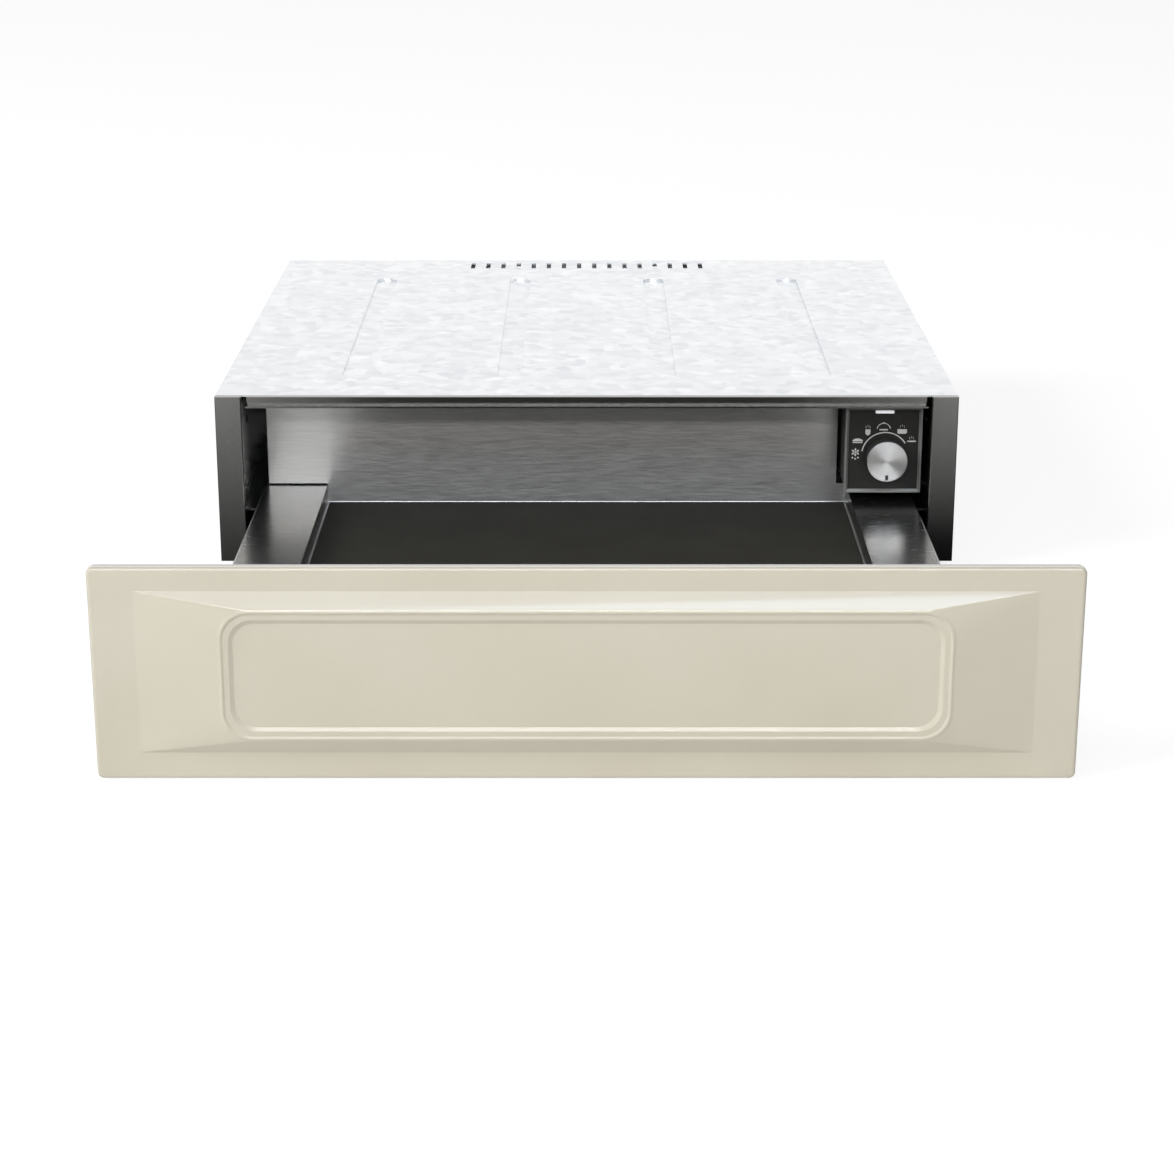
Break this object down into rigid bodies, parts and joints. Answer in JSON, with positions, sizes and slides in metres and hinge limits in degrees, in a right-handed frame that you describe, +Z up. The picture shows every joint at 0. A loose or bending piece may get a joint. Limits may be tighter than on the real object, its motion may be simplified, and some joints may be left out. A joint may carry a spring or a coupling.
{
  "type": "built-in warming drawer",
  "caption": "Handle-free built-in warming drawer with a raised cream enamel front, brushed steel tray and rotary control, running out on ball-bearing slides.",
  "frame": {"origin": "middle of the base pan's underside, on which the housing stands", "axes": "+X to the right seen from the front, +Y to the rear, the front faces -Y, +Z up"},
  "size_m": [0.597, 0.9638, 0.136],
  "materials": {
    "front_enamel": "glossy cream vitreous enamel",
    "dark_paint": "satin dark grey powder coat",
    "galvanised": "galvanised sheet",
    "brushed_steel": "brushed stainless sheet",
    "bright_zinc": "bright zinc plate",
    "mat_rubber": "matt black silicone",
    "bumper_rubber": "black rubber",
    "control_black": "satin black",
    "fascia_black": "dark satin plate",
    "lens_white": "milk white diffuser",
    "knob_black": "black moulded",
    "spun_aluminium": "spun aluminium",
    "heater_steel": "heat-tinted steel tube",
    "motor_steel": "plated steel",
    "black_plastic": "black moulded nylon",
    "switch_red": "red moulded",
    "terminal_cream": "cream moulded"
  },
  "bodies": {
    "carcass": {"base_pan": "galvanised", "top_cover": "galvanised", "rear_panel": "galvanised", "front_top_rail": "dark_paint", "side_panel_left": "dark_paint", "side_panel_right": "dark_paint", "rail_bracket_left": "dark_paint", "rail_bracket_right": "dark_paint", "cabinet_rail_left": "bright_zinc", "cabinet_rail_right": "bright_zinc", "control_housing": "control_black", "control_bezel": "control_black", "control_fascia": "fascia_black", "indicator_lens": "lens_white", "indicator_lamp": "black_plastic", "thermostat_body": "black_plastic", "blower_housing": "galvanised", "blower_motor": "motor_steel", "heater_element": "heater_steel", "heater_tray": "galvanised", "thermal_cutout": "motor_steel", "terminal_block": "terminal_cream", "mains_gland": "black_plastic", "push_latch_body": "black_plastic", "door_switch_body": "black_plastic", "carcass_screws": "bright_zinc"},
    "drawer": {"drawer_tray": "brushed_steel", "ledge_left": "brushed_steel", "ledge_right": "brushed_steel", "drawer_back_wall": "brushed_steel", "drawer_side_left": "galvanised", "drawer_side_right": "galvanised", "drawer_rail_left": "bright_zinc", "drawer_rail_right": "bright_zinc", "inner_front": "brushed_steel", "front_backing": "galvanised", "front_panel": "front_enamel", "front_bumpers": "bumper_rubber", "anti_slip_mat": "mat_rubber", "drawer_screws": "bright_zinc"},
    "middle_rail_left": {"middle_rail_left": "bright_zinc"},
    "middle_rail_right": {"middle_rail_right": "bright_zinc"},
    "outer_cage_left": {"outer_ball_cage_left": "bright_zinc"},
    "outer_cage_right": {"outer_ball_cage_right": "bright_zinc"},
    "inner_cage_left": {"inner_ball_cage_left": "bright_zinc"},
    "inner_cage_right": {"inner_ball_cage_right": "bright_zinc"},
    "knob": {"knob_skirt": "knob_black", "knob_cap": "spun_aluminium", "knob_shaft": "bright_zinc"},
    "rotor": {"blower_rotor": "spun_aluminium", "blower_shaft": "bright_zinc"},
    "latch_plunger": {"latch_plunger": "black_plastic"},
    "switch_button": {"switch_button": "switch_red"}
  },
  "joints": [
    {"name": "drawer_slide", "type": "slide", "parent": "carcass", "child": "drawer", "axis": [0, -1, 0], "range_m": [-0.398, 0.034]},
    {"name": "middle_rail_left_slide", "type": "slide", "parent": "carcass", "child": "middle_rail_left", "axis": [0, -1, 0], "range_m": [-0.1991, 0.0171]},
    {"name": "outer_cage_left_slide", "type": "slide", "parent": "carcass", "child": "outer_cage_left", "axis": [0, -1, 0], "range_m": [-0.0996, 0.0086]},
    {"name": "inner_cage_left_slide", "type": "slide", "parent": "carcass", "child": "inner_cage_left", "axis": [0, -1, 0], "range_m": [-0.2986, 0.0256]},
    {"name": "middle_rail_right_slide", "type": "slide", "parent": "carcass", "child": "middle_rail_right", "axis": [0, -1, 0], "range_m": [-0.1991, 0.0171]},
    {"name": "outer_cage_right_slide", "type": "slide", "parent": "carcass", "child": "outer_cage_right", "axis": [0, -1, 0], "range_m": [-0.0996, 0.0086]},
    {"name": "inner_cage_right_slide", "type": "slide", "parent": "carcass", "child": "inner_cage_right", "axis": [0, -1, 0], "range_m": [-0.2986, 0.0256]},
    {"name": "knob_turn", "type": "hinge", "parent": "carcass", "child": "knob", "pos_m": [0.2263, -0.2627, 0.0852], "axis": [0, 1, 0], "range_deg": [0, 240]},
    {"name": "rotor_spin", "type": "hinge", "parent": "carcass", "child": "rotor", "pos_m": [0, 0.238, 0.092], "axis": [1, 0, 0], "continuous": true},
    {"name": "latch_push", "type": "slide", "parent": "carcass", "child": "latch_plunger", "axis": [0, 1, 0], "range_m": [0, 0.008], "stiffness_N_per_m": 400, "springref_m": -0.005},
    {"name": "switch_push", "type": "slide", "parent": "carcass", "child": "switch_button", "axis": [0, 1, 0], "range_m": [0, 0.003], "stiffness_N_per_m": 150, "springref_m": -0.002}
  ],
  "couplings": [
    {"joint": "middle_rail_left_slide", "follows": "drawer_slide", "ratio": 0.5},
    {"joint": "outer_cage_left_slide", "follows": "drawer_slide", "ratio": 0.25},
    {"joint": "inner_cage_left_slide", "follows": "drawer_slide", "ratio": 0.75},
    {"joint": "middle_rail_right_slide", "follows": "drawer_slide", "ratio": 0.5},
    {"joint": "outer_cage_right_slide", "follows": "drawer_slide", "ratio": 0.25},
    {"joint": "inner_cage_right_slide", "follows": "drawer_slide", "ratio": 0.75}
  ]
}
